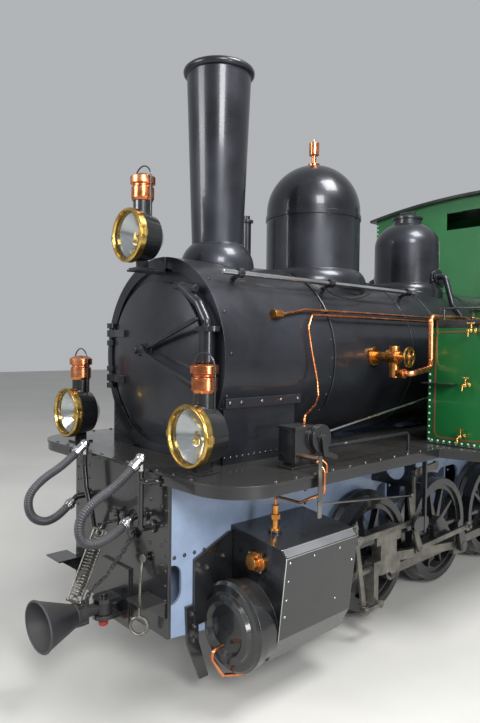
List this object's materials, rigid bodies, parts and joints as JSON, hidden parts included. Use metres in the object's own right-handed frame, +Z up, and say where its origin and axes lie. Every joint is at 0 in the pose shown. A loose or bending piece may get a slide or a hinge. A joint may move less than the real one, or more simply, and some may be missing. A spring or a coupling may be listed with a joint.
{
  "type": "narrow gauge steam tank locomotive",
  "caption": "Narrow gauge steam tank locomotive with coupled wheels, outside cylinders, side tanks, tall chimney, domes and oil lamps",
  "frame": {"origin": "middle of the overall length and width, on the plane of the wheel flanges' feet", "axes": "+X forward towards the chimney, +Y the engine's left, +Z up"},
  "size_m": [5.6, 2.4, 3.3359],
  "materials": {
    "black_paint": "satin",
    "boiler_black": "satin",
    "blue_grey_paint": "satin",
    "green_paint": "gloss",
    "motion_steel": "satin",
    "bright_steel": "polished",
    "copper": "polished",
    "brass": "polished",
    "lamp_glass": "clear",
    "rubber": "matte",
    "cast_iron": "matte"
  },
  "bodies": {
    "locomotive_frame": {"axleboxes": "cast_iron", "boiler": "boiler_black", "boiler_pipes": "boiler_black", "brass_fittings": "brass", "cab_front": "green_paint", "cab_rear": "green_paint", "cab_roof": "black_paint", "cab_side_left": "green_paint", "cab_side_right": "green_paint", "chimney": "boiler_black", "copper_pipes": "copper", "cylinders": "black_paint", "end_plates": "black_paint", "footplate": "black_paint", "frame_stretchers": "blue_grey_paint", "front_pipes": "black_paint", "handrail_posts": "black_paint", "handrails": "bright_steel", "hose_couplings": "bright_steel", "hose_left": "rubber", "hose_right": "rubber", "lamp_bodies": "black_paint", "lamp_caps": "copper", "lamp_glasses": "lamp_glass", "lamp_reflectors": "bright_steel", "lamp_rims": "brass", "lubricator": "black_paint", "main_frames": "blue_grey_paint", "motion_plates": "black_paint", "outer_frames": "blue_grey_paint", "sand_dome": "boiler_black", "side_tank_left": "green_paint", "side_tank_right": "green_paint", "smokebox": "boiler_black", "smokebox_saddle": "boiler_black", "steam_dome": "boiler_black", "steps_and_guards": "black_paint", "valve_gear": "motion_steel", "whistle": "copper"},
    "wheelset_front_body": {"wheelset_front": "black_paint", "tyres_front": "black_paint"},
    "wheelset_driver_body": {"wheelset_driver": "black_paint", "tyres_driver": "black_paint"},
    "wheelset_rear_body": {"wheelset_rear": "black_paint", "tyres_rear": "black_paint"},
    "coupling_rod_left_body": {"coupling_rod_left": "motion_steel"},
    "coupling_rod_right_body": {"coupling_rod_right": "motion_steel"},
    "connecting_rod_left_body": {"connecting_rod_left": "motion_steel"},
    "connecting_rod_right_body": {"connecting_rod_right": "motion_steel"},
    "crosshead_left_body": {"crosshead_left": "motion_steel"},
    "crosshead_right_body": {"crosshead_right": "motion_steel"},
    "smokebox_door_body": {"smokebox_door": "boiler_black"},
    "sand_lid_body": {"sand_lid": "boiler_black"},
    "tank_lid_left_body": {"tank_lid_left": "black_paint"},
    "tank_lid_right_body": {"tank_lid_right": "black_paint"},
    "cab_door_left_body": {"cab_door_left": "green_paint"},
    "cab_door_right_body": {"cab_door_right": "green_paint"},
    "coupler_front_body": {"coupler_front": "cast_iron"},
    "coupler_rear_body": {"coupler_rear": "cast_iron"}
  },
  "joints": [
    {"name": "driving_axle_turn", "type": "hinge", "parent": "locomotive_frame", "child": "wheelset_driver_body", "pos_m": [-0.085, 0, 0.403], "axis": [0, 1, 0], "continuous": true},
    {"name": "front_axle_turn", "type": "hinge", "parent": "locomotive_frame", "child": "wheelset_front_body", "pos_m": [0.745, 0, 0.403], "axis": [0, 1, 0], "continuous": true},
    {"name": "rear_axle_turn", "type": "hinge", "parent": "locomotive_frame", "child": "wheelset_rear_body", "pos_m": [-0.915, 0, 0.403], "axis": [0, 1, 0], "continuous": true},
    {"name": "coupling_rod_left_turn", "type": "hinge", "parent": "wheelset_driver_body", "child": "coupling_rod_left_body", "pos_m": [-0.2262, 0.485, 0.27587], "axis": [0, 1, 0], "continuous": true},
    {"name": "connecting_rod_left_turn", "type": "hinge", "parent": "wheelset_driver_body", "child": "connecting_rod_left_body", "pos_m": [-0.2262, 0.527, 0.27587], "axis": [0, 1, 0], "continuous": true},
    {"name": "crosshead_left_slide", "type": "slide", "parent": "locomotive_frame", "child": "crosshead_left_body", "axis": [1, 0, 0], "range_m": [-0.041, 0.339]},
    {"name": "coupling_rod_right_turn", "type": "hinge", "parent": "wheelset_driver_body", "child": "coupling_rod_right_body", "pos_m": [-0.21213, -0.485, 0.5442], "axis": [0, 1, 0], "continuous": true},
    {"name": "connecting_rod_right_turn", "type": "hinge", "parent": "wheelset_driver_body", "child": "connecting_rod_right_body", "pos_m": [-0.21213, -0.527, 0.5442], "axis": [0, 1, 0], "continuous": true},
    {"name": "crosshead_right_slide", "type": "slide", "parent": "locomotive_frame", "child": "crosshead_right_body", "axis": [1, 0, 0], "range_m": [-0.053, 0.327]},
    {"name": "smokebox_door_swing", "type": "hinge", "parent": "locomotive_frame", "child": "smokebox_door_body", "pos_m": [2.15, -0.447, 1.678], "axis": [0, 0, 1], "range_deg": [-70, 0]},
    {"name": "sand_lid_lift", "type": "slide", "parent": "locomotive_frame", "child": "sand_lid_body", "axis": [0, 0, 1], "range_m": [0, 0.2]},
    {"name": "tank_lid_left_lift", "type": "hinge", "parent": "locomotive_frame", "child": "tank_lid_left_body", "pos_m": [0.05, 0.9535, 1.9824], "axis": [0, 1, 0], "range_deg": [-110, 0]},
    {"name": "tank_lid_right_lift", "type": "hinge", "parent": "locomotive_frame", "child": "tank_lid_right_body", "pos_m": [0.05, -0.9535, 1.9824], "axis": [0, 1, 0], "range_deg": [-110, 0]},
    {"name": "cab_door_left_swing", "type": "hinge", "parent": "locomotive_frame", "child": "cab_door_left_body", "pos_m": [-2.14, 1.124, 1.5], "axis": [0, 0, 1], "range_deg": [-85, 0]},
    {"name": "cab_door_right_swing", "type": "hinge", "parent": "locomotive_frame", "child": "cab_door_right_body", "pos_m": [-2.14, -1.124, 1.5], "axis": [0, 0, 1], "range_deg": [0, 85]},
    {"name": "coupler_front_swing", "type": "hinge", "parent": "locomotive_frame", "child": "coupler_front_body", "pos_m": [2.455, 0, 0.408], "axis": [0, 0, 1], "range_deg": [-12, 12]},
    {"name": "coupler_rear_swing", "type": "hinge", "parent": "locomotive_frame", "child": "coupler_rear_body", "pos_m": [-2.455, 0, 0.408], "axis": [0, 0, 1], "range_deg": [-12, 12]}
  ],
  "couplings": [
    {"joint": "front_axle_turn", "follows": "driving_axle_turn", "ratio": 1},
    {"joint": "rear_axle_turn", "follows": "driving_axle_turn", "ratio": 1},
    {"joint": "coupling_rod_left_turn", "follows": "driving_axle_turn", "ratio": -1},
    {"joint": "connecting_rod_left_turn", "follows": "driving_axle_turn", "ratio": -1},
    {"joint": "coupling_rod_right_turn", "follows": "driving_axle_turn", "ratio": -1},
    {"joint": "connecting_rod_right_turn", "follows": "driving_axle_turn", "ratio": -1}
  ]
}
